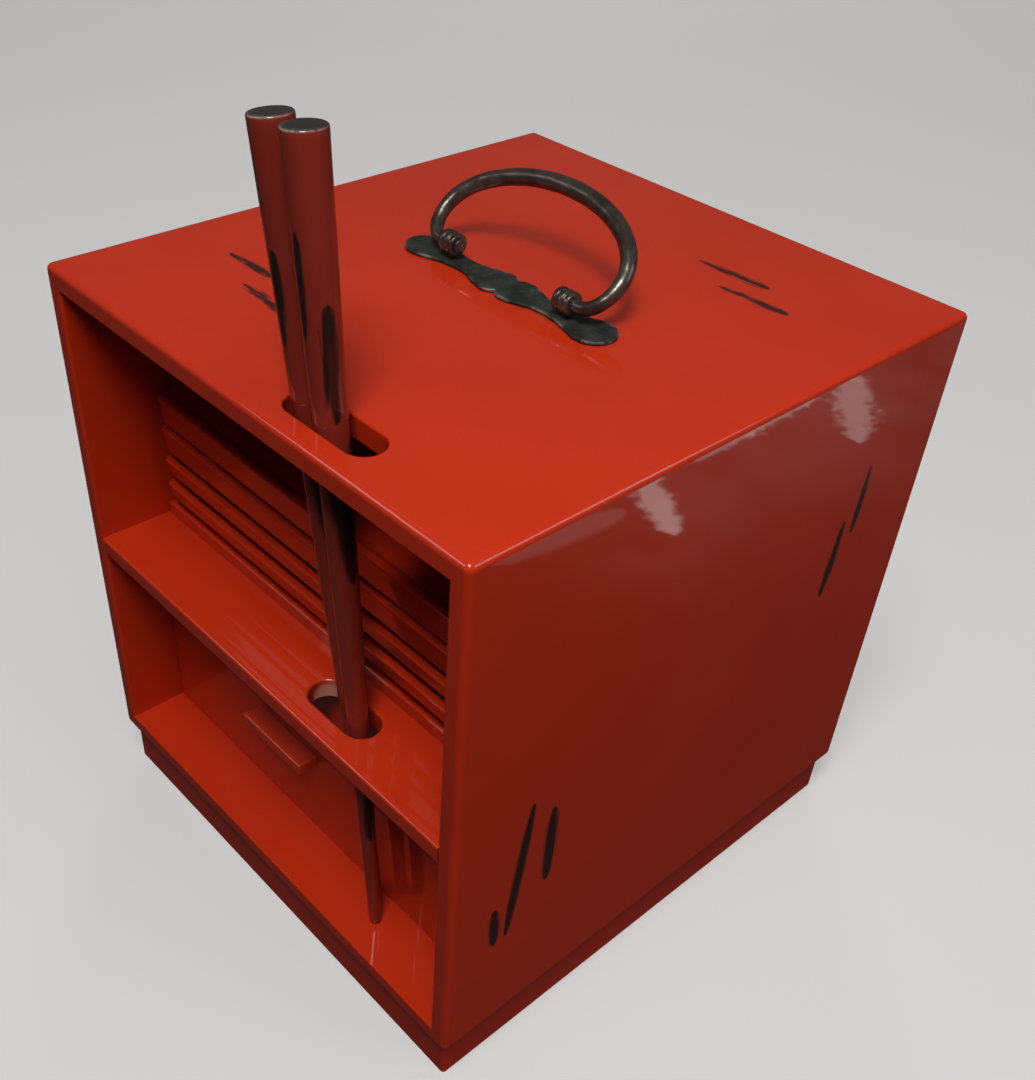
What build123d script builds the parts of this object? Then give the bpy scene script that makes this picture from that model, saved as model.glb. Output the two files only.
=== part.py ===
# Open-fronted lacquered carrying box: case with shelf and plinth, one drawer, a stack of square
# plates on a thin board, a pair of standing chopsticks and an iron bail handle. Millimetres.
from build123d import *
from math import cos, radians, sin
import os

os.makedirs("parts", exist_ok=True)

# ---- driving dimensions ----
body_width = 200.0
body_depth = 213.0
body_height = 200.0
board = 7.0
plinth_height = 19.0
plinth_inset = 3.0
plinth_rail = 10.0
shelf_top_above_body_bottom = 97.0
outer_round = 2.2
front_round = 1.2
edge_round = 0.8

slot_slack = 0.8
slot_from_front = 14.0
top_slot_straight = 24.9
top_slot_x = 31.3
shelf_slot_straight = 17.4
shelf_slot_x = 32.0

drawer_setback = 22.5
drawer_side_gap = 0.5
drawer_top_gap = 0.7
drawer_bottom_gap = 0.1
drawer_back_gap = 3.0
drawer_front_thick = 8.0
drawer_side_thick = 5.0
drawer_floor_thick = 4.0
drawer_floor_lift = 4.0
drawer_side_drop = 8.0
pull_length = 35.0
pull_reach = 7.5
pull_height = 4.2
pull_x = -15.0
pull_top_above_body_bottom = 45.5

base_side_gap = 1.0
base_height = 5.0
base_setback = 2.0
plate_back_gap = 2.5
plate_front_setback = 25.5
plate_side_gap = 4.0
plate_heights = (11.6, 12.2, 14.6, 15.1)
plate_rim_heights = (6.5, 6.5, 9.5, 11.0)
plate_dish_depth = 2.1
plate_flare = 1.2
plate_rim_wall = 3.0
plate_foot_inset = 12.0
plate_foot_wall = 4.0
plate_foot_hollow = 3.0
plate_corner = 3.0
loose_gap = 0.1

stick_length = 268.6
stick_head_radius = 5.9
stick_tip_radius = 2.8
stick_tip_round = 2.1
stick_floor_gap = 0.3
pair_left_of_top_slot = 6.35
pair_right_of_shelf_slot = 14.4
head_half_step = 0.05
left_head_back = 0.9
right_head_front = 0.8
tip_half_step = 0.6
tip_pair_back = 0.8

handle_y = -2.0
backplate_half_length = 45.6
backplate_thick = 1.5
eye_lift = 0.79
bail_half_width = 38.4
bail_reach = 32.9
bail_shoulder = 10.4
bail_entry = 31.5
bail_end = 21.5
bail_mid_radius = 2.9
bail_quarter_radius = 2.6
bail_end_radius = 2.15
bail_lean = 52.0
eye_x = 26.0
eye_length = 6.6
eye_wall = 1.5
eye_fit = 0.06
eye_groove_width = 0.8
eye_groove_depth = 0.5
pin_x = 3.0
pin_y = 3.2
clinch_thick = 1.3
clinch_reach = 7.0

# ---- levels and faces that follow from them ----
half_w = body_width / 2
front_y = -body_depth / 2
back_y = body_depth / 2
z0 = plinth_height
z_floor = z0 + board
z_shelf_top = z0 + shelf_top_above_body_bottom
z_shelf_low = z_shelf_top - board
z_top = z0 + body_height
z_ceiling = z_top - board
inner_w = body_width - 2 * board
inner_back = back_y - board
slot_y = front_y + slot_from_front
slot_width = 2 * stick_head_radius + slot_slack


def save(builder, label):
    """Names the finished solid and writes it as one STEP file."""
    builder.part.label = label
    export_step(builder.part, f"parts/{label}.step")


def slab(x0, x1, y0, y1, z_low, z_high):
    """A plain board between six faces, added to the part being built."""
    with Locations(((x0 + x1) / 2, (y0 + y1) / 2, (z_low + z_high) / 2)):
        Box(x1 - x0, y1 - y0, z_high - z_low)


def upright(edges, x=None, y=None):
    """The vertical edges standing at the given x and y."""
    chosen = edges.filter_by(Axis.Z)
    if x is not None:
        chosen = chosen.filter_by(lambda e: abs(e.center().X - x) < 0.01)
    if y is not None:
        chosen = chosen.filter_by(lambda e: abs(e.center().Y - y) < 0.01)
    return chosen


# ---- case ----
# The top board covers the sides; its outer edges are rounded and the stick slot runs through it.
with BuildPart() as top_board:
    slab(-half_w, half_w, front_y, back_y, z_ceiling, z_top)
    fillet(top_board.edges().filter_by(Axis.Z), outer_round)
    fillet(top_board.faces().sort_by(Axis.Z)[-1].edges(), outer_round)
    with BuildSketch(Plane.XY.offset(z_ceiling)):
        with Locations((top_slot_x, slot_y)):
            SlotOverall(top_slot_straight + slot_width, slot_width)
    extrude(amount=board, mode=Mode.SUBTRACT)
    slot_rim = top_board.faces().filter_by(Plane.XY).sort_by(Axis.Z)[-1].inner_wires()[0].edges()
    fillet(slot_rim, edge_round)
    with BuildSketch(Plane.XY.offset(z_ceiling)):
        with Locations((-eye_x, handle_y), (eye_x, handle_y)):
            Rectangle(pin_x, pin_y)
    extrude(amount=board, mode=Mode.SUBTRACT)
save(top_board, "top_board")

# The bottom board closes the case under the sides.
with BuildPart() as bottom_board:
    slab(-half_w, half_w, front_y, back_y, z0, z_floor)
    fillet(bottom_board.edges().filter_by(Axis.Z), outer_round)
    fillet(bottom_board.faces().sort_by(Axis.Z)[0].edges(), outer_round)
save(bottom_board, "bottom_board")

# The two side boards stand between top and bottom, their front inner edge softened.
for side, label in ((-1, "left_side_board"), (1, "right_side_board")):
    outer_x = side * half_w
    inner_x = side * (half_w - board)
    with BuildPart() as side_board:
        slab(min(outer_x, inner_x), max(outer_x, inner_x), front_y, back_y, z_floor, z_ceiling)
        fillet(upright(side_board.edges(), x=outer_x), outer_round)
        fillet(upright(side_board.edges(), x=inner_x, y=front_y), front_round)
    save(side_board, label)

# The back board closes the box between the sides.
with BuildPart() as back_board:
    slab(-inner_w / 2, inner_w / 2, inner_back, back_y, z_floor, z_ceiling)
save(back_board, "back_board")

# The fixed shelf divides the case and carries the lower slot.
with BuildPart() as shelf_board:
    slab(-inner_w / 2, inner_w / 2, front_y, inner_back, z_shelf_low, z_shelf_top)
    front_edges = shelf_board.faces().sort_by(Axis.Y)[0].edges().filter_by(Axis.X)
    fillet(front_edges, front_round)
    with BuildSketch(Plane.XY.offset(z_shelf_low)):
        with Locations((shelf_slot_x, slot_y)):
            SlotOverall(shelf_slot_straight + slot_width, slot_width)
    extrude(amount=board, mode=Mode.SUBTRACT)
    shelf_rim = shelf_board.faces().filter_by(Plane.XY).sort_by(Axis.Z)[-1].inner_wires()[0].edges()
    fillet(shelf_rim, edge_round)
save(shelf_board, "shelf_board")

# The recessed plinth is a frame of four rails under the case.
plinth_x = half_w - plinth_inset
plinth_y = back_y - plinth_inset
for side, label in ((-1, "plinth_front"), (1, "plinth_back")):
    near = side * plinth_y
    far = side * (plinth_y - plinth_rail)
    with BuildPart() as rail:
        slab(-plinth_x, plinth_x, min(near, far), max(near, far), 0, z0)
        fillet(upright(rail.edges(), y=near), front_round)
    save(rail, label)
for side, label in ((-1, "plinth_left"), (1, "plinth_right")):
    near = side * plinth_x
    far = side * (plinth_x - plinth_rail)
    with BuildPart() as rail:
        slab(min(near, far), max(near, far), -plinth_y + plinth_rail, plinth_y - plinth_rail, 0, z0)
    save(rail, label)

# ---- drawer ----
drawer_half = inner_w / 2 - drawer_side_gap
drawer_low = z_floor + drawer_bottom_gap
drawer_high = z_shelf_low - drawer_top_gap
drawer_face = front_y + drawer_setback
drawer_body = drawer_face + drawer_front_thick
drawer_end = inner_back - drawer_back_gap
side_high = drawer_high - drawer_side_drop
floor_low = drawer_low + drawer_floor_lift
floor_high = floor_low + drawer_floor_thick
pull_z = z0 + pull_top_above_body_bottom

# The front fills the lower opening and stands back from the case front.
with BuildPart() as drawer_front:
    slab(-drawer_half, drawer_half, drawer_face, drawer_body, drawer_low, drawer_high)
    fillet(drawer_front.faces().sort_by(Axis.Y)[0].edges(), edge_round)
save(drawer_front, "drawer_front")

for side, label in ((-1, "drawer_left_side"), (1, "drawer_right_side")):
    near = side * drawer_half
    far = side * (drawer_half - drawer_side_thick)
    with BuildPart() as drawer_side:
        slab(min(near, far), max(near, far), drawer_body, drawer_end, drawer_low, side_high)
    save(drawer_side, label)

drawer_inner = drawer_half - drawer_side_thick
with BuildPart() as drawer_back:
    slab(-drawer_inner, drawer_inner, drawer_end - drawer_side_thick, drawer_end, drawer_low, side_high)
save(drawer_back, "drawer_back")

with BuildPart() as drawer_bottom:
    slab(-drawer_inner, drawer_inner, drawer_body, drawer_end - drawer_side_thick, floor_low, floor_high)
save(drawer_bottom, "drawer_bottom")

# The pull is a flat bar glued to the face of the drawer.
with BuildPart() as drawer_pull:
    pull_left = pull_x - pull_length / 2
    pull_right = pull_x + pull_length / 2
    slab(pull_left, pull_right, drawer_face - pull_reach, drawer_face, pull_z - pull_height, pull_z)
    fillet(upright(drawer_pull.edges(), y=drawer_face - pull_reach), front_round)
    fillet(drawer_pull.faces().sort_by(Axis.Z)[-1].edges().filter_by(Axis.X).sort_by(Axis.Y)[0], edge_round)
save(drawer_pull, "drawer_pull")

# ---- plates ----
stack_front = front_y + plate_front_setback
stack_depth = inner_back - plate_back_gap - stack_front
plate_side = min(stack_depth, inner_w - 2 * plate_side_gap)
base_side = inner_w - 2 * base_side_gap
stack_centre = stack_front + plate_side / 2
base_low = z_shelf_top + loose_gap
base_top = base_low + base_height
base_back = stack_front + plate_side

# The thin board under the stack nearly fills the width of the upper space.
with BuildPart() as plate_base_board:
    slab(-base_side / 2, base_side / 2, stack_front + base_setback, base_back, base_low, base_top)
    fillet(plate_base_board.edges().filter_by(Axis.Z), edge_round)
    fillet(plate_base_board.faces().sort_by(Axis.Z)[-1].edges(), edge_round)
save(plate_base_board, "plate_base_board")

# Each plate has a tall, slightly flared rim round a shallow square dish and stands on a hollow foot in the
# dish of the plate below.
belly_side = plate_side - 2 * plate_flare
mouth_side = plate_side - 2 * plate_rim_wall
dish_side = mouth_side - 2 * plate_rim_wall
foot_side = plate_side - 2 * plate_foot_inset
hollow_side = foot_side - 2 * plate_foot_wall
seat_z = base_top
for number, (plate_height, rim_height) in enumerate(zip(plate_heights, plate_rim_heights), 1):
    flare_low = plate_height - rim_height
    dish_level = plate_height - plate_dish_depth
    seat = Plane(origin=(0, stack_centre, seat_z))
    with BuildPart() as plate:
        with BuildSketch(seat.offset(flare_low)):
            RectangleRounded(belly_side, belly_side, plate_corner)
        with BuildSketch(seat.offset(plate_height)):
            RectangleRounded(plate_side, plate_side, plate_corner)
        loft()
        with BuildSketch(seat):
            RectangleRounded(foot_side, foot_side, plate_corner)
        extrude(amount=flare_low)
        with BuildSketch(seat.offset(dish_level)):
            RectangleRounded(dish_side, dish_side, plate_corner)
        with BuildSketch(seat.offset(plate_height)):
            RectangleRounded(mouth_side, mouth_side, plate_corner)
        loft(mode=Mode.SUBTRACT)
        with BuildSketch(seat):
            RectangleRounded(hollow_side, hollow_side, plate_corner)
        extrude(amount=plate_foot_hollow, mode=Mode.SUBTRACT)
    save(plate, f"plate_{number}")
    seat_z += dish_level

# ---- chopsticks ----
# Each stick is a long cone with a rounded tip, leaning through both slots.
head_step = stick_head_radius - head_half_step
head_x = top_slot_x - pair_left_of_top_slot
tip_step = stick_tip_radius - tip_half_step
tip_x = shelf_slot_x + pair_right_of_shelf_slot
tip_y = slot_y + tip_pair_back
left_tip = (tip_x - tip_step, tip_y + tip_step)
right_tip = (tip_x + tip_step, tip_y - tip_step)
left_at_top = (head_x - head_step, slot_y + left_head_back)
right_at_top = (head_x + head_step, slot_y - right_head_front)
for label, tip, at_top in (
    ("chopstick_left", left_tip, left_at_top),
    ("chopstick_right", right_tip, right_at_top),
):
    foot = Vector(tip[0], tip[1], z_floor + stick_floor_gap)
    along = (Vector(at_top[0], at_top[1], z_top) - foot).normalized()
    across = along.cross(Vector(0, 1, 0)).normalized()
    with BuildPart() as stick:
        with BuildSketch(Plane(origin=foot, x_dir=across, z_dir=across.cross(along))):
            with BuildLine():
                Polyline((stick_tip_radius, 0), (0, 0), (0, stick_length), (stick_head_radius, stick_length))
                Line((stick_head_radius, stick_length), (stick_tip_radius, 0))
            make_face()
        revolve(axis=Axis(foot, along))
        fillet(stick.edges().filter_by(GeomType.CIRCLE).sort_by(Axis.Z)[0], stick_tip_round)
        fillet(stick.edges().filter_by(GeomType.CIRCLE).sort_by(Axis.Z)[-1], edge_round)
    save(stick, label)

# ---- handle ----
# The back plate is cut from thin iron with lobed ends, narrow necks and a cusped middle.
quarter_outline = (
    (0.0, 5.6),
    (2.2, 7.0),
    (5.6, 7.2),
    (10.0, 6.0),
    (15.0, 4.2),
    (20.0, 3.8),
    (26.0, 4.4),
    (32.0, 6.2),
    (38.0, 7.8),
    (42.5, 7.2),
    (45.0, 4.4),
)
with BuildPart() as handle_backplate:
    with BuildSketch(Plane(origin=(0, handle_y, z_top))):
        with BuildLine():
            Spline(*quarter_outline, (backplate_half_length, 0.0))
            mirror(about=Plane.XZ)
            mirror(about=Plane.YZ)
        make_face()
    extrude(amount=backplate_thick)
    with BuildSketch(Plane(origin=(0, handle_y, z_top))):
        with Locations((-eye_x, 0), (eye_x, 0)):
            Rectangle(pin_x, pin_y)
    extrude(amount=backplate_thick, mode=Mode.SUBTRACT)
save(handle_backplate, "handle_backplate")

# The bail is a forged bar, thickest in the middle, with its ends turned in through the eyes.
ring_inner = bail_end_radius + eye_fit
ring_outer = ring_inner + eye_wall
pivot_z = z_top + backplate_thick + eye_lift + ring_outer
lean = radians(bail_lean)
bail_plane = Plane(origin=(0, handle_y, pivot_z), x_dir=(1, 0, 0), z_dir=(0, -cos(lean), sin(lean)))
with BuildPart() as handle_bail:
    with BuildLine(bail_plane) as bail_path:
        right_end = []
        for turn in (90, 65, 40, 15):
            x = bail_entry + (bail_half_width - bail_entry) * cos(radians(turn))
            right_end.append((x, bail_shoulder * (1 - sin(radians(turn)))))
        arch = []
        for turn in range(0, 181, 15):
            y = bail_shoulder + (bail_reach - bail_shoulder) * sin(radians(turn))
            arch.append((bail_half_width * cos(radians(turn)), y))
        left_end = [(-x, y) for x, y in reversed(right_end)]
        Spline(*right_end, *arch, *left_end)
    curve = bail_path.edges()[0]
    for share, radius in (
        (0.0, bail_end_radius),
        (0.2, bail_quarter_radius),
        (0.5, bail_mid_radius),
        (0.8, bail_quarter_radius),
        (1.0, bail_end_radius),
    ):
        with BuildSketch(Plane(origin=curve @ share, x_dir=bail_plane.z_dir, z_dir=curve % share)):
            Circle(radius)
    sweep(path=bail_path.wires()[0], multisection=True)
    for side in (-1, 1):
        with BuildSketch(Plane.YZ.offset(side * bail_entry)):
            with Locations((handle_y, pivot_z)):
                Circle(bail_end_radius)
        extrude(amount=-side * (bail_entry - bail_end))
save(handle_bail, "handle_bail")

# Each eye is a split pin: a grooved ring round the bar end, a neck through the board, legs clinched below.
for side, label in ((-1, "handle_eye_left"), (1, "handle_eye_right")):
    x = side * eye_x
    with BuildPart() as eye:
        with BuildSketch(Plane.YZ.offset(x - eye_length / 2)):
            with Locations((handle_y, pivot_z)):
                Circle(ring_outer)
        extrude(amount=eye_length)
        for groove in (-1, 1):
            with BuildSketch(Plane.YZ.offset(x + groove * eye_length / 6 - eye_groove_width / 2)):
                with Locations((handle_y, pivot_z)):
                    Circle(ring_outer + eye_wall)
                    Circle(ring_outer - eye_groove_depth, mode=Mode.SUBTRACT)
            extrude(amount=eye_groove_width, mode=Mode.SUBTRACT)
        slab(x - pin_x / 2, x + pin_x / 2, handle_y - pin_y / 2, handle_y + pin_y / 2, z_ceiling, pivot_z)
        slab(
            x - pin_x / 2,
            x + pin_x / 2,
            handle_y - clinch_reach,
            handle_y + clinch_reach,
            z_ceiling - clinch_thick,
            z_ceiling,
        )
        with BuildSketch(Plane.YZ.offset(x - eye_length)):
            with Locations((handle_y, pivot_z)):
                Circle(ring_inner)
        extrude(amount=2 * eye_length, mode=Mode.SUBTRACT)
    save(eye, label)
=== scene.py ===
import bmesh
import bpy
import numpy as np
from mathutils import Matrix, Vector


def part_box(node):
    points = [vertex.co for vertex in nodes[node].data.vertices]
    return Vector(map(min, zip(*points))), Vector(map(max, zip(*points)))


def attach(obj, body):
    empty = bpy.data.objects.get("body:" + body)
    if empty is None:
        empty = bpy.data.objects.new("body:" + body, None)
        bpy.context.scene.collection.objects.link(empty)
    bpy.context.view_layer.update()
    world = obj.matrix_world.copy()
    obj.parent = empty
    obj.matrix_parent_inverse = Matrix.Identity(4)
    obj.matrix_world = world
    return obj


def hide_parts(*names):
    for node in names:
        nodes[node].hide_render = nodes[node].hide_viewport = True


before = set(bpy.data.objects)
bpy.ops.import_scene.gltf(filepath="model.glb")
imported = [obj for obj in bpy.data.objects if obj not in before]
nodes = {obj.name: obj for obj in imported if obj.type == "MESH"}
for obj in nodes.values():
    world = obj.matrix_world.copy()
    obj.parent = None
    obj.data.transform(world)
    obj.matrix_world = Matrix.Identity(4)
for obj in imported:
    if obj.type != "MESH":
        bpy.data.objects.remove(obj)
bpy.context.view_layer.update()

mm = 0.001

# Case: thin boards of hinoki under many coats of lacquer, black below and vermilion on top,
# butted and glued, with the arrises softened. The gloss is a clear last coat, very slightly wavy,
# and a few brush strokes are rubbed through to the black.


def node(tree, kind, inputs=(), **settings):
    """One shader node with its settings, its inputs given as values or as sockets to link."""
    made = tree.nodes.new(kind)
    for name, value in settings.items():
        setattr(made, name, value)
    for key, value in dict(inputs).items():
        if isinstance(value, bpy.types.NodeSocket):
            tree.links.new(value, made.inputs[key])
        else:
            made.inputs[key].default_value = value
    return made


def maths(tree, operation, *values, clamp=False):
    """A number worked out from up to three numbers or sockets."""
    made = node(tree, "ShaderNodeMath", enumerate(values), operation=operation, use_clamp=clamp)
    return made.outputs[0]


def vector(tree, operation, inputs, out=0):
    """A vector, or for a dot product or a length a number, worked out from vectors."""
    made = node(tree, "ShaderNodeVectorMath", inputs, operation=operation)
    return made.outputs[out]


def noise(tree, place, scale, detail=2.0, rough=0.5, stretch=None):
    """Cloudy noise from 0 to 1 on the given coordinates, finer along the axes that stretch enlarges."""
    if stretch:
        place = node(tree, "ShaderNodeMapping", {"Vector": place, "Scale": stretch}).outputs[0]
    settings = {"Vector": place, "Scale": scale, "Detail": detail, "Roughness": rough}
    return node(tree, "ShaderNodeTexNoise", settings).outputs[0]


def ramp(tree, value, low, high, to_low=0.0, to_high=1.0):
    """Carries a number from the span low to high onto the span to_low to to_high, eased at both ends."""
    spans = {"Value": value, "From Min": low, "From Max": high, "To Min": to_low, "To Max": to_high}
    return node(tree, "ShaderNodeMapRange", spans, interpolation_type="SMOOTHSTEP").outputs[0]


def mix(tree, share, first, second):
    """A colour between two others."""
    made = node(tree, "ShaderNodeMix", data_type="RGBA")
    for index, value in ((0, share), (6, first), (7, second)):
        if isinstance(value, bpy.types.NodeSocket):
            tree.links.new(value, made.inputs[index])
        elif index:
            made.inputs[index].default_value = (*value, 1.0)
        else:
            made.inputs[index].default_value = value
    return made.outputs[2]


def finish_named(name, **sockets):
    """A new material: its node tree, its shader with these sockets set, and its piece's own coordinates."""
    made = bpy.data.materials.new(name)
    made.use_nodes = True
    shader = made.node_tree.nodes["Principled BSDF"]
    for key, value in sockets.items():
        shader.inputs[key.replace("_", " ")].default_value = value
    place = made.node_tree.nodes.new("ShaderNodeTexCoord").outputs["Object"]
    return made, made.node_tree, shader, place


def bumped(tree, shader, *heights):
    """Stacks (height socket, depth in metres) pairs as one bump after another."""
    normal = None
    for height, depth in heights:
        inputs = {"Height": height, "Distance": depth, "Strength": 1.0}
        if normal:
            inputs["Normal"] = normal
        normal = node(tree, "ShaderNodeBump", inputs).outputs[0]
    tree.links.new(normal, shader.inputs["Normal"])


def stroke(tree, place, start, end, half_width, streak, fade=0.0, ragged=0.5):
    """How much a brush stroke covers, 0 to 1: the distance from the line start to end, over a width that
    swells as the root of share times one minus share, with the streak noise added to make it ragged.
    fade thins the stroke towards its end. Places and width are in mm."""
    a, b = Vector(start) * mm, Vector(end) * mm
    along = b - a
    from_a = vector(tree, "SUBTRACT", {0: place, 1: a})
    share = vector(tree, "DOT_PRODUCT", {0: from_a, 1: along / along.length_squared}, 1)
    share = maths(tree, "MULTIPLY", share, 1.0, clamp=True)
    foot = vector(tree, "SCALE", {0: along, "Scale": share})
    away = vector(tree, "LENGTH", {0: vector(tree, "SUBTRACT", {0: from_a, 1: foot})}, 1)
    belly = maths(tree, "MULTIPLY", maths(tree, "SUBTRACT", 1.0, share), share)
    swell = maths(tree, "POWER", belly, 0.5)
    width = maths(tree, "MULTIPLY_ADD", swell, 2 * half_width * mm, 0.25 * half_width * mm)
    shift = maths(tree, "SUBTRACT", streak, 0.5)
    edge = maths(tree, "MULTIPLY_ADD", shift, 2 * ragged, maths(tree, "DIVIDE", away, width))
    edge = maths(tree, "MULTIPLY_ADD", share, fade, edge)
    return ramp(tree, edge, 0.45, 1.2, 1.0, 0.0)


def lacquer(name, deep, bright, strokes=(), pale_highlight_patches=(), wave=0.00012):
    """Vermilion lacquer: two reds mottled softly, a fine grain and dust nibs under a clear coat, a long,
    low waviness that bends reflections, black strokes rubbed through, and pale patches of painted highlight."""
    made, tree, shader, place = finish_named(
        name, Roughness=0.30, Specular_IOR_Level=0.12, Coat_Weight=0.9, Coat_Roughness=0.03, Coat_IOR=1.48)
    cloud = noise(tree, place, 11.0, 3.0, 0.55)
    colour = mix(tree, ramp(tree, cloud, 0.3, 0.7), deep, bright)
    grain = noise(tree, place, 1500.0, 2.0, 0.6)
    colour = mix(tree, ramp(tree, grain, 0.25, 0.75, 0.0, 0.10), colour, (0.30, 0.012, 0.006))
    nib = node(tree, "ShaderNodeTexVoronoi", {"Vector": place, "Scale": 85.0}).outputs["Distance"]
    dust = maths(tree, "MULTIPLY", ramp(tree, nib, 0.012, 0.022, 1.0, 0.0),
                 ramp(tree, noise(tree, place, 23.0), 0.56, 0.62))
    colour = mix(tree, maths(tree, "MULTIPLY", dust, 0.55), colour, (0.75, 0.45, 0.36))
    streak = noise(tree, place, 1.0, 4.0, 0.7, stretch=(90, 900, 55))
    for start, end, half_width, fade, ragged in strokes:
        cover = stroke(tree, place, start, end, half_width, streak, fade, ragged)
        colour = mix(tree, maths(tree, "MULTIPLY", cover, 0.96), colour, (0.010, 0.006, 0.005))
    # Pale patches: a painted highlight, the lit look of the slot walls put into the colour.
    for start, end, half_width in pale_highlight_patches:
        cover = stroke(tree, place, start, end, half_width, streak, 0.0, 0.1)
        colour = mix(tree, maths(tree, "MULTIPLY", cover, 0.8), colour, (0.60, 0.27, 0.20))
    tree.links.new(colour, shader.inputs["Base Color"])
    bumped(tree, shader, (noise(tree, place, 14.0, 1.0, 0.4), wave), (noise(tree, place, 60.0, 2.0, 0.5), wave),
           (noise(tree, place, 330.0, 2.0, 0.5), 0.000004), (dust, 0.00008))
    return made


def refinish(finish, *names):
    """Gives CAD pieces one finish in place of their own."""
    for name in names:
        nodes[name].data.materials.clear()
        nodes[name].data.materials.append(finish)


deep_red, bright_red = (0.440, 0.0225, 0.0040), (0.475, 0.0268, 0.0055)
# Each stroke: start, end, half width, fade towards the end, raggedness.
top_strokes = (
    ((-48.0, -55.6, 219), (-72.0, -56.2, 219), 2.1, 0.50, 1.7),
    ((-28.2, -67.0, 219), (-51.0, -65.6, 219), 2.1, 0.50, 1.7),
    ((50.5, 66.5, 219), (22.5, 65.0, 219), 2.0, 0.35, 1.6),
    ((65.5, 56.5, 219), (39.5, 55.0, 219), 2.0, 0.35, 1.6),
)
side_strokes = (
    ((100, -75.5, 118), (100, -82.6, 62), 2.0, 0.0, 0.35),
    ((100, -88.4, 79), (100, -87.6, 61), 2.1, 0.0, 0.35),
    ((100, -66.2, 110), (100, -66.4, 77), 2.5, 0.0, 0.7),
    ((100, 69.8, 176), (100, 68.6, 150), 1.6, 0.0, 1.0),
    ((100, 62.4, 157), (100, 59.3, 127), 1.9, 0.0, 1.0),
)
# The pale patch on the walls of the shelf slot is a painted highlight.
slot_painted_highlight = (((14.0, -92.0, 110.0), (26.0, -82.5, 110.0), 4.3),)
case_finish = lacquer("case_lacquer", deep_red, bright_red, top_strokes + side_strokes, slot_painted_highlight)
refinish(case_finish, "top_board", "bottom_board", "left_side_board", "right_side_board", "back_board",
         "shelf_board", "plinth_front", "plinth_back", "plinth_left", "plinth_right")

# Drawer: a plain tray of thin boards under the shelf, butted and glued, its front the same vermilion.
# The pull is a flat bar glued to the front; its lacquer is painted brighter than the front's, a painted
# highlight for the light it catches.
drawer_finish = lacquer("drawer_lacquer", deep_red, bright_red)
# The pull's reds are lighter than the drawer's: a painted highlight that makes the pull look lit.
pull_painted_highlight_finish = lacquer("pull_lacquer_painted_highlight", (0.60, 0.040, 0.012), (0.66, 0.050, 0.016))
refinish(drawer_finish, "drawer_front", "drawer_left_side", "drawer_right_side", "drawer_back", "drawer_bottom")
refinish(pull_painted_highlight_finish, "drawer_pull")

# Plates: four square dishes, each turned out of one board and lacquered like the case, with a tall,
# nearly upright rim and a low foot that stands in the dish below. Two are shallow and two are deep.
# A thin lacquered board lies under them.


def skin(name, shells, smooth=40.0, **attributes):
    """A mesh of one or more closed shells. Each shell is a grid of points, rows by columns. Its columns
    join round, and its first and last rows are poles, or join too if its loop is set. An attribute is
    one number for each point. Edges sharper than smooth, in degrees, stay sharp."""
    points, faces, start = [], [], 0
    for grid, loop in shells:
        rows, columns = grid.shape[:2]
        row, column = np.meshgrid(np.arange(rows if loop else rows - 1), np.arange(columns), indexing="ij")
        next_row, next_column = (row + 1) % rows, (column + 1) % columns
        quads = np.stack([row * columns + column, row * columns + next_column,
                          next_row * columns + next_column, next_row * columns + column], axis=-1)
        points.append(grid.reshape(-1, 3))
        faces.append(quads.reshape(-1, 4) + start)
        start += rows * columns
    mesh = bpy.data.meshes.new(name)
    mesh.from_pydata(np.concatenate(points) * mm, [], np.concatenate(faces))
    for key, values in attributes.items():
        layer = mesh.attributes.new(key, "FLOAT", "POINT")
        layer.data.foreach_set("value", values.ravel().astype(np.float32))
    edit = bmesh.new()
    edit.from_mesh(mesh)
    bmesh.ops.remove_doubles(edit, verts=edit.verts, dist=1e-6)
    bmesh.ops.recalc_face_normals(edit, faces=edit.faces)
    edit.to_mesh(mesh)
    edit.free()
    mesh.shade_smooth()
    mesh.set_sharp_from_angle(angle=np.radians(smooth))
    made = bpy.data.objects.new(name, mesh)
    bpy.context.scene.collection.objects.link(made)
    return made


def stand_in(piece, finish, body, slot, *replaced):
    """Gives a piece its finish, body and material slot, and hides the CAD nodes it stands for. The slot argument
    is not used.
    """
    piece.data.materials.append(finish)
    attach(piece, body)
    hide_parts(*replaced)


plate_finish = lacquer("plate_lacquer", (0.44, 0.0225, 0.0042), (0.475, 0.0268, 0.0058), wave=0.00006)
rim_heights = (6.5, 6.5, 9.5, 11.0)
corner_turn = np.linspace(0, np.pi / 2, 9)
turns = np.concatenate([corner_turn + quarter * np.pi / 2 for quarter in range(4)])
side_x = np.repeat([1, -1, -1, 1], 9)
side_y = np.repeat([1, 1, -1, -1], 9)
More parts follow.
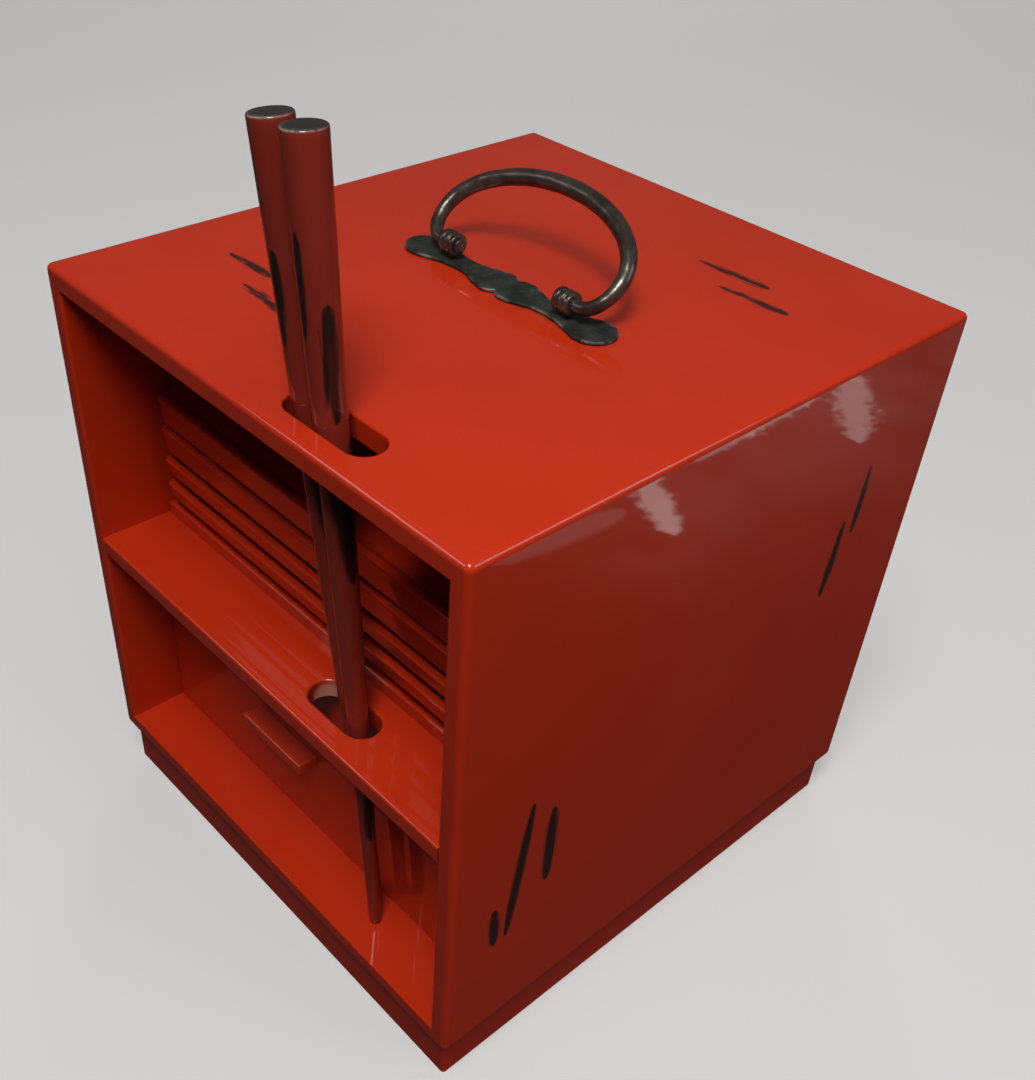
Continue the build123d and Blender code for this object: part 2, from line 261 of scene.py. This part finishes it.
# The profile runs from the middle of the underside over the foot and the rim to the middle of the dish.
plate_inset = np.array([89, 16.2, 16.0, 16.0, 15.8, 12.2, 12.0, 12.0, 11.6, 10.8, 2.2, 1.6, 1.3, 1.1, 0.6,
                        0.25, 0.1, 0.2, 0.55, 1.0, 2.3, 2.9, 3.4, 5.2, 5.8, 6.6, 89])
foot_rise = np.array([3, 3, 2.8, 0.2, 0, 0, 0.2])
under_rim = np.array([-0.6, -0.15, 0, 0, 0.1, 0.4, 1.2])
below_lip = np.array([-3.2, -1.3, -0.6, -0.25, -0.05, 0, 0, -0.15, -0.5, -1.75, -2.02, -2.1, -2.1])
for number, rim_height in enumerate(rim_heights, 1):
    # The profile is carried round a square with rounded corners: each ring is the outline set in by the
    # profile's inset, its corner radius shrinking with it.
    low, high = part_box(f"plate_{number}")
    tall = (high.z - low.z) / mm
    rise = np.concatenate([foot_rise, tall - rim_height + under_rim, tall + below_lip])
    half = ((high.x - low.x) / 2 / mm - plate_inset)[:, None]
    corner = np.minimum(np.maximum(3.0 - plate_inset, 0.8)[:, None], half)
    x = side_x * (half - corner) + corner * np.cos(turns)
    y = side_y * (half - corner) + corner * np.sin(turns) + (high.y + low.y) / 2 / mm
    z = low.z / mm + np.broadcast_to(rise[:, None], x.shape)
    plate = skin(f"plate_dish_{number}", [(np.stack([x, y, z], axis=-1), False)])
    stand_in(plate, plate_finish, "plate_stack", "plate_lacquer", f"plate_{number}")
refinish(plate_finish, "plate_base_board")

# Chopsticks: a pair of long round serving sticks, thick at the head and tapering to a blunt tip, turned
# from hardwood and lacquered a browner red over black that shows in long patches. The flat heads are
# worn dark with a pale rim. They stand loose in the slots of the top and the shelf.
stick_strokes = (
    ((14.5, -97.6, 261), (16.9, -97.0, 236), 1.9, 0.0, 0.8),
    ((26.4, -98.8, 270), (28.3, -98.6, 243), 1.5, 0.0, 0.8),
    ((33.2, -94.8, 253), (36.0, -94.5, 221), 3.0, 0.20, 1.0),
    ((25.0, -94.0, 213), (29.1, -92.5, 175), 2.6, 0.0, 0.6),
    ((35.6, -95.6, 213), (39.6, -93.3, 171), 3.0, 0.0, 0.6),
    ((46.0, -95.0, 92), (47.8, -94.8, 68), 1.8, 0.0, 0.6),
)
stick_finish = lacquer("stick_lacquer", (0.165, 0.0170, 0.0098), (0.205, 0.0215, 0.0120), stick_strokes,
                       wave=0.0)
tree = stick_finish.node_tree
shader = tree.nodes["Principled BSDF"]
red = shader.inputs["Base Color"].links[0].from_socket
head = node(tree, "ShaderNodeAttribute", attribute_name="head").outputs["Fac"]
rim = node(tree, "ShaderNodeAttribute", attribute_name="rim").outputs["Fac"]
place = next(n for n in tree.nodes if n.bl_idname == "ShaderNodeTexCoord").outputs["Object"]
chips = noise(tree, place, 900.0, 3.0, 0.6)
worn = mix(tree, head, red, (0.014, 0.011, 0.010))
worn = mix(tree, maths(tree, "MULTIPLY", rim, ramp(tree, chips, 0.30, 0.55)), worn, (0.26, 0.21, 0.17))
tree.links.new(worn, shader.inputs["Base Color"])
stick_length, head_radius, tip_radius, tip_round, head_round = 268.6, 5.9, 2.1, 1.7, 0.7
for name, label, foot, at_top in (
    ("serving_stick_left", "chopstick_left", (44.2, -89.5, 26.3), (19.1, -91.6, 219.0)),
    ("serving_stick_right", "chopstick_right", (48.6, -93.9, 26.3), (30.8, -93.3, 219.0)),
):
    # A cone carried along its own line: the radius grows evenly, rounded by a quarter circle at the tip
    # and by a small one at the head. The rim attribute is a bell over the head's edge, on the front half.
    along = np.array(at_top) - np.array(foot)
    along /= np.linalg.norm(along)
    across = np.cross(along, (0, 1, 0))
    across /= np.linalg.norm(across)
    front = np.cross(across, along)
    bend = np.linspace(0, np.pi / 2, 7)
    reach = np.concatenate([[0], tip_round * (1 - np.cos(bend)), np.linspace(4, 266, 60),
                            stick_length - 0.9 + head_round * np.sin(bend),
                            [stick_length - 0.12, stick_length - 0.15]])
    radius = tip_radius + (head_radius - tip_radius) * reach / stick_length
    radius[0] = 0
    radius[1:8] -= tip_round * (1 - np.sin(bend))
    radius[-9:-2] -= head_round * (1 - np.cos(bend))
    radius[-2:] = (4.2, 0)
    angle = np.linspace(0, 2 * np.pi, 40, endpoint=False)
    ring = np.cos(angle)[:, None] * across + np.sin(angle)[:, None] * front
    grid = np.array(foot) + reach[:, None, None] * along + radius[:, None, None] * ring
    on_head = np.clip((reach - stick_length + 0.7) / 0.35, 0, 1)
    on_rim = np.exp(-((reach - stick_length + 0.5) / 0.22) ** 2) * (radius > 5.0)
    stick = skin(name, [(grid, False)], head=np.outer(on_head, np.ones(40)),
                 rim=np.outer(on_rim, 0.5 - 0.5 * np.sin(angle)))
    stand_in(stick, stick_finish, label, "stick_lacquer", label)

# Handle plate: a strip of thin wrought iron cut to a bracket outline with lobed ends, hammered, oxidised
# dark grey-green, its edge pale in places: rubbed bright, and a painted glint too. Two split pins hold it down.
plate_iron, tree, shader, place = finish_named(
    "wrought_iron_plate", Metallic=0.35, Roughness=0.55, Specular_IOR_Level=0.4)
pits = noise(tree, place, 700.0, 4.0, 0.65)
cloud = noise(tree, place, 160.0, 3.0, 0.6)
colour = mix(tree, ramp(tree, cloud, 0.3, 0.7), (0.013, 0.016, 0.014), (0.036, 0.038, 0.031))
colour = mix(tree, ramp(tree, pits, 0.55, 0.75, 0.0, 0.5), colour, (0.13, 0.12, 0.10))
rim = node(tree, "ShaderNodeAttribute", attribute_name="rim").outputs["Fac"]
# The pale rim is partly wear and partly a painted glint along the edge.
rubbed_rim_and_painted_glint = maths(tree, "MULTIPLY", rim, ramp(tree, cloud, 0.44, 0.62, 0.0, 0.8))
colour = mix(tree, rubbed_rim_and_painted_glint, colour, (0.34, 0.30, 0.27))
tree.links.new(colour, shader.inputs["Base Color"])
bumped(tree, shader, (noise(tree, place, 180.0, 2.0, 0.5), 0.00022), (pits, 0.00008))

handle_y, board_top, plate_thick = -2.0, 219.0, 1.45
# Half of the outline, from the notch in the middle to the tip of the lobe: distance along, half width.
bracket = np.array([(0, 5.2), (1.3, 6.5), (3.0, 7.3), (6.2, 7.1), (10, 6.0), (15, 4.2), (20, 3.8),
                    (26, 4.4), (32, 6.2), (37, 7.6), (41.4, 6.8), (44.5, 3.9), (45.6, 0.0)])


def through(points, steps):
    """A smooth line through points: each stretch is the cubic whose slope at a point is half the chord
    between its neighbours."""
    padded = np.concatenate([points[:1], points, points[-1:]])
    share = np.linspace(0, 1, steps, endpoint=False)[:, None]
    before, here, there, after = (padded[i:i + len(points) - 1][:, None] for i in range(4))
    line = 0.5 * (2 * here + (there - before) * share
                  + (2 * before - 5 * here + 4 * there - after) * share ** 2
                  + (3 * here - before - 3 * there + after) * share ** 3)
    return np.concatenate([line.reshape(-1, points.shape[1]), points[-1:]])


# The section is a superellipse, flat above and below with rounded edges, carried along the outline and
# widened by it. Low sine waves dent the top and unsettle the edge.
half_outline = through(bracket, 8)
outline = np.concatenate([half_outline[:0:-1] * (-1, 1), half_outline])
turn = np.linspace(0, 2 * np.pi, 28, endpoint=False)
across = np.sign(np.cos(turn)) * np.abs(np.cos(turn)) ** 0.3
rise = 0.5 + 0.5 * np.sign(np.sin(turn)) * np.abs(np.sin(turn)) ** 0.45
x = outline[:, :1] + 0 * turn
ragged = 1 + 0.012 * np.sin(x * 1.1 + 0.8) + 0.010 * np.sin(x * 2.3 + across * 2)
y = handle_y + outline[:, 1:] * across * ragged
dents = 0.10 * np.sin(x * 0.9 + y) * np.sin(y * 1.1 - x * 0.35)
z = board_top + 0.03 + rise * (plate_thick - 0.12 + dents)
handle_plate = skin("handle_plate", [(np.stack([x, y, z], axis=-1), False)], 60.0,
                    rim=np.broadcast_to(np.abs(across) ** 14 * rise, x.shape))
stand_in(handle_plate, plate_iron, "case", "iron_plate", "handle_backplate")

# Split-pin eyes: iron strip rolled round the bail's ends into a ribbed collar, its two legs driven
# through the top board and bent over below.
bar_iron, tree, shader, place = finish_named("forged_iron_bar", Metallic=0.75, Roughness=0.30)
cloud = noise(tree, place, 120.0, 3.0, 0.6)
scale = noise(tree, place, 520.0, 4.0, 0.6)
colour = mix(tree, ramp(tree, cloud, 0.3, 0.72), (0.066, 0.046, 0.038), (0.13, 0.108, 0.092))
colour = mix(tree, ramp(tree, scale, 0.58, 0.75, 0.0, 0.6), colour, (0.028, 0.022, 0.018))
tree.links.new(colour, shader.inputs["Base Color"])
bumped(tree, shader, (noise(tree, place, 130.0, 1.5, 0.4), 0.0007), (scale, 0.00007))

pivot_z, eye_x, ring_inner, ring_outer, eye_half = 225.0, 26.0, 2.21, 3.71, 3.3
groove_depth, groove_spread, groove_places = 0.5, 0.33, (-1.1, 1.1)
loop = np.linspace(0, 2 * np.pi, 36, endpoint=False)
along_eye = np.linspace(-1, 1, 41)
ribs = ring_outer - groove_depth * sum(
    np.exp(-(((along_eye * eye_half) - at) / groove_spread) ** 2) for at in groove_places)
ribs -= 0.5 * np.abs(along_eye) ** 14
eye_reach = np.concatenate([along_eye, np.linspace(0.96, -0.96, 9)]) * eye_half
eye_radius = np.concatenate([ribs, np.full(9, ring_inner)])
for side, name, label in ((-1, "split_pin_left", "handle_eye_left"), (1, "split_pin_right", "handle_eye_right")):
    # The collar is a ribbed wall carried round the pin's axis, each groove a bell cut into its radius.
    # Neck and legs are boxes with rounded corners: a superellipse carried up the neck, and another
    # along the legs.
    x = side * eye_x + eye_reach[:, None] + 0 * loop
    y = handle_y + eye_radius[:, None] * np.cos(loop)
    z = pivot_z + eye_radius[:, None] * np.sin(loop)
    collar = np.stack([x, y, z], axis=-1)
    corner_x = np.sign(np.cos(loop)) * np.abs(np.cos(loop)) ** 0.4
    corner_y = np.sign(np.sin(loop)) * np.abs(np.sin(loop)) ** 0.4
    up = np.array([211.0, 211.0, 219.0, 220.6, 221.2, 222.4, 222.6])[:, None]
    wide = np.array([0.0, 1.45, 1.45, 1.45, 1.7, 2.2, 0.0])[:, None]
    deep = np.array([0.0, 1.55, 1.55, 1.55, 1.7, 2.3, 0.0])[:, None]
    neck = np.stack([side * eye_x + wide * corner_x, handle_y + deep * corner_y, up + 0 * corner_x], axis=-1)
    reach = np.array([-7.0, -7.0, -6.6, 6.6, 7.0, 7.0])[:, None]
    thick = np.array([0.0, 0.45, 0.62, 0.62, 0.45, 0.0])[:, None]
    leg_wide = np.array([0.0, 1.2, 1.45, 1.45, 1.2, 0.0])[:, None]
    legs = np.stack([side * eye_x + leg_wide * corner_x, handle_y + reach + 0 * corner_x,
                     211.36 + thick * corner_y], axis=-1)
    eye = skin(name, [(collar, True), (neck, False), (legs, False)], 50.0)
    stand_in(eye, bar_iron, "case", "iron_bar", label)

# Bail: a round iron bar hammered thicker in the middle, bent to a horseshoe, its ends turned in through
# the eyes and upset to small heads so that they can't slip out. It leans back on its eyes.
lean = np.radians(52.0)
end_radius, belly_more = 2.15, 0.75
arch_wide, arch_tall, shoulder = 38.4, 22.5, 10.4
straight_from, straight_to = 22.5, 31.5
# The middle line in its own plane: a straight end, a quarter ellipse up to the shoulder and half an
# ellipse over the top, and the same again mirrored.
end_turn = np.linspace(np.pi / 2, 0, 16)[1:-1]
arch_turn = np.linspace(0, np.pi, 81)
straight = np.linspace(straight_from, straight_to, 8)
right = np.stack([np.concatenate([straight, straight_to + (arch_wide - straight_to) * np.cos(end_turn)]),
                  np.concatenate([0 * straight, shoulder * (1 - np.sin(end_turn))])], axis=-1)
arch = np.stack([arch_wide * np.cos(arch_turn), shoulder + arch_tall * np.sin(arch_turn)], axis=-1)
line = np.concatenate([right, arch, right[::-1] * (-1, 1)])
tangent = np.gradient(line, axis=0)
tangent /= np.linalg.norm(tangent, axis=1)[:, None]
run = np.concatenate([[0], np.cumsum(np.linalg.norm(np.diff(line, axis=0), axis=1))])
share = run / run[-1]
# The bar's radius swells as a sine towards the middle, with small waves from the hammer.
radius = end_radius + belly_more * np.sin(np.pi * np.clip((share - 0.07) / 0.86, 0, 1)) ** 0.9
radius *= 1 + 0.012 * np.sin(run * 0.55 + 1.0) + 0.010 * np.sin(run * 1.3)
head_back = np.array([1.0, 0.98, 0.85, 0.55, 0.15, 0.0])
upset_radius = np.array([0.0, 1.2, 1.95, 2.3, 2.3, 2.15])
heads = np.stack([-head_back, 0 * head_back], axis=-1)
line = np.concatenate([line[:1] + heads, line, line[-1:] - heads[::-1]])
tangent = np.concatenate([np.repeat(tangent[:1], 6, axis=0), tangent, np.repeat(tangent[-1:], 6, axis=0)])
radius = np.concatenate([upset_radius, radius, upset_radius[::-1]])
run = np.concatenate([np.zeros(6), run, np.full(6, run[-1])])
# The section is a circle with four very soft facets, square to the line, and the whole is then leaned.
angle = np.linspace(0, 2 * np.pi, 32, endpoint=False)
facets = 1 + 0.014 * np.cos(4 * angle + 0.25 * np.sin(run * 0.4)[:, None])
out_of_plane = radius[:, None] * facets * np.sin(angle)
in_plane = radius[:, None] * facets * np.cos(angle)
x = line[:, :1] - tangent[:, 1:] * in_plane
upright = line[:, 1:] + tangent[:, :1] * in_plane
y = handle_y + upright * np.sin(lean) - out_of_plane * np.cos(lean)
z = pivot_z + upright * np.cos(lean) + out_of_plane * np.sin(lean)
bail = skin("bail", [(np.stack([x, y, z], axis=-1), False)], 60.0)
stand_in(bail, bar_iron, "bail", "iron_bar", "handle_bail")

# Floor and wall: a plain pale studio. The gloss doesn't mirror the floor, and the floor throws no light
# back, so that the lacquer keeps its depth. A weak glow of its own keeps it pale far off.
bpy.ops.mesh.primitive_plane_add(size=24)
floor = bpy.context.object
floor.name = "floor"
floor.visible_glossy = False
floor.visible_diffuse = False
floor_finish, tree, shader, place = finish_named(
    "pale_floor", Roughness=0.9, Base_Color=(0.38, 0.376, 0.37, 1), Specular_IOR_Level=0.0,
    Emission_Color=(1.0, 0.99, 0.97, 1), Emission_Strength=0.27)
floor.data.materials.append(floor_finish)
bpy.ops.mesh.primitive_cylinder_add(radius=9, depth=12, location=(0, 0, 5), end_fill_type="NOTHING")
wall = bpy.context.object
wall.name = "wall"
wall_finish, tree, shader, place = finish_named(
    "pale_wall", Roughness=1.0, Base_Color=(0, 0, 0, 1), Specular_IOR_Level=0.0,
    Emission_Color=(1.0, 0.99, 0.97, 1), Emission_Strength=0.42)
wall.data.materials.append(wall_finish)
for way in ("visible_diffuse", "visible_glossy", "visible_shadow", "visible_transmission"):
    setattr(wall, way, False)

# Light: one soft overhead light gives the shadows, wide diffuse lights fill them from the ceiling, the
# right side and the back, and two small cards are there for the gloss of iron and lacquer only.
world = bpy.data.worlds.new("soft_room")
world.use_nodes = True
tree = world.node_tree
sky = node(tree, "ShaderNodeTexCoord").outputs["Generated"]
upward = node(tree, "ShaderNodeSeparateXYZ", {0: sky}).outputs["Z"]
room = mix(tree, ramp(tree, upward, -0.12, 0.06), (0.34, 0.34, 0.34), (1.0, 0.99, 0.97))
tree.links.new(room, tree.nodes["Background"].inputs["Color"])
tree.nodes["Background"].inputs["Strength"].default_value = 0.075
bpy.context.scene.world = world
bpy.context.scene.view_settings.view_transform = "Standard"


def panel(name, place, aim, wide, tall, power, seen=("diffuse", "glossy")):
    """A flat soft light at a place, turned to face a point, hidden from the camera."""
    data = bpy.data.lights.new(name, "AREA")
    data.shape, data.size, data.size_y, data.energy = "RECTANGLE", wide, tall, power
    light = bpy.data.objects.new(name, data)
    light.location = place
    light.rotation_euler = (Vector(aim) - Vector(place)).to_track_quat("-Z", "Y").to_euler()
    light.visible_camera = False
    light.visible_diffuse = "diffuse" in seen
    light.visible_glossy = "glossy" in seen
    bpy.context.scene.collection.objects.link(light)


panel("overhead", (0.36, -0.52, 1.38), (0.0, 0.0, 0.2), 0.40, 0.50, 15.2)
panel("ceiling", (0.8, -0.1, 2.0), (0.0, 0.0, 0.0), 2.4, 2.4, 15.0, ("diffuse",))
panel("side_fill", (1.3, 0.15, 0.6), (0.1, 0.0, 0.1), 0.8, 0.8, 2.6, ("diffuse",))
panel("back_fill", (-1.7, 1.7, 1.1), (0.0, 0.0, 0.1), 0.7, 0.7, 12.0, ("diffuse",))
panel("right_card", (0.95, 0.82, 0.95), (0.1, 0.0, 0.2), 0.5, 0.4, 1.6, ("glossy",))
panel("front_card", (-0.80, -0.96, 0.95), (0.0, -0.1, 0.2), 0.5, 0.4, 1.6, ("glossy",))

# Daylight lying on the floor beyond the right-hand edge, which the side of the case mirrors along its top.
# It is only there for the gloss: a flat, clear sheet that glows in ragged patches like light through a
# window. Each patch is a stroke, and the glow is the sum of the strokes and a faint haze.
glow = bpy.data.materials.new("daylight_on_floor")
glow.use_nodes = True
tree = glow.node_tree
tree.nodes.remove(tree.nodes["Principled BSDF"])
place = node(tree, "ShaderNodeTexCoord").outputs["Object"]
ragged = noise(tree, place, 1.0, 4.0, 0.65, stretch=(190, 110, 60))
far_edge = stroke(tree, place, (331, 130, 3), (331, 520, 3), 24, ragged, 0.0, 1.2)
near_patch = stroke(tree, place, (258, 192, 3), (318, 226, 3), 9, ragged, 0.0, 0.9)
far_patch = stroke(tree, place, (251, 352, 3), (312, 430, 3), 11, ragged, 0.0, 1.2)
edge_streak = stroke(tree, place, (297.3, 256, 3), (298.0, 372, 3), 2.6, ragged, 0.0, 1.5)
soft_fan = stroke(tree, place, (299, 98, 3), (289, 186, 3), 6.5, ragged, -0.2, 0.3)
level = maths(tree, "MULTIPLY", far_edge, 1.3)
for patch, strength in ((near_patch, 1.7), (far_patch, 0.9), (edge_streak, 1.2), (soft_fan, 0.35)):
    level = maths(tree, "MULTIPLY_ADD", patch, strength, level)
spot = node(tree, "ShaderNodeSeparateXYZ", {0: place})
haze = maths(tree, "MULTIPLY", ramp(tree, spot.outputs["X"], 0.19, 0.27, 0.0, 0.08),
             ramp(tree, spot.outputs["Y"], 0.09, 0.17))
level = maths(tree, "MULTIPLY_ADD", ramp(tree, noise(tree, place, 14.0), 0.35, 0.65), haze, level)
shine = node(tree, "ShaderNodeEmission", {"Color": (1.0, 0.98, 0.95, 1.0), "Strength": level})
clear = node(tree, "ShaderNodeBsdfTransparent")
both = node(tree, "ShaderNodeAddShader", {0: shine.outputs[0], 1: clear.outputs[0]})
tree.links.new(both.outputs[0], tree.nodes["Material Output"].inputs["Surface"])
sheet = bpy.data.meshes.new("daylight")
sheet_corners = [(0.18, 0.08, 0.003), (0.42, 0.08, 0.003), (0.42, 0.56, 0.003), (0.18, 0.56, 0.003)]
sheet.from_pydata(sheet_corners, [], [(0, 1, 2, 3)])
sheet.materials.append(glow)
daylight = bpy.data.objects.new("daylight", sheet)
bpy.context.scene.collection.objects.link(daylight)
for way in ("visible_camera", "visible_diffuse", "visible_shadow", "visible_transmission"):
    setattr(daylight, way, False)

# Camera: above the front right corner, looking down at the top and into the open front.
data = bpy.data.cameras.new("camera")
camera = bpy.data.objects.new("camera", data)
heading = Matrix.Rotation(np.radians(45.384), 4, "Z") @ Matrix.Rotation(np.radians(50.447), 4, "X")
roll = Matrix.Rotation(np.radians(3.732), 4, "Z")
camera.matrix_world = Matrix.Translation((0.2616, -0.2601, 0.3912)) @ heading @ roll
data.lens, data.sensor_width = 41.80, 36.0
data.shift_x, data.shift_y = 0.0299, 0.0659
data.clip_start, data.clip_end = 0.02, 60.0
bpy.context.scene.collection.objects.link(camera)
bpy.context.scene.camera = camera
